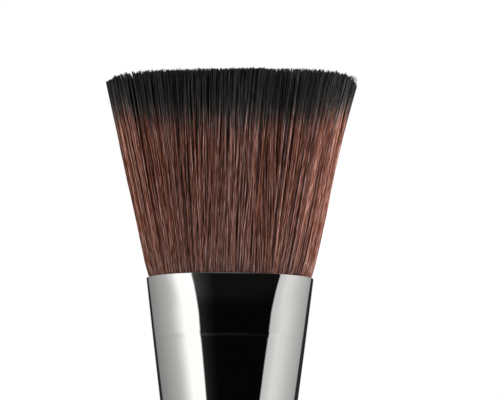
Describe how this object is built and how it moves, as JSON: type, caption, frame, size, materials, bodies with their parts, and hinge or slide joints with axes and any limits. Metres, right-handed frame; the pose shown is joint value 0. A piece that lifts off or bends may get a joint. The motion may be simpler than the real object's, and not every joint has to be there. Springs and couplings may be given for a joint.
{
  "type": "flat blush brush",
  "caption": "Flat fan-shaped blush brush: brown hair with dark dyed tips in a polished ferrule, pressed flat at its mouth, on a slim turned handle.",
  "frame": {"origin": "centre of the flat end of the handle, on the brush's long axis; the brush stands upright on it", "axes": "+Z along the brush from the handle's end to the hair tips; X across the width of the hair; Y through its thickness, with the pictured face towards -Y"},
  "size_m": [0.0311, 0.014, 0.1704],
  "materials": {
    "black_lacquer": "turned wood under black gloss lacquer",
    "polished_nickel": "mirror-polished nickel plate on a drawn tube",
    "glue": "hardened glue",
    "resin": "poured resin",
    "thread": "twisted binding thread",
    "hair": "soft reddish brown hair, dyed black over its last 6 mm"
  },
  "bodies": {
    "root": {"handle": "black_lacquer", "ferrule": "polished_nickel", "tenon_glue": "glue", "resin_plug": "resin", "root_thread": "thread", "bristle_row_1": "hair", "bristle_row_2": "hair", "bristle_row_3": "hair", "bristle_row_4": "hair", "bristle_row_5": "hair", "bristle_row_6": "hair", "bristle_row_7": "hair"}
  },
  "joints": []
}
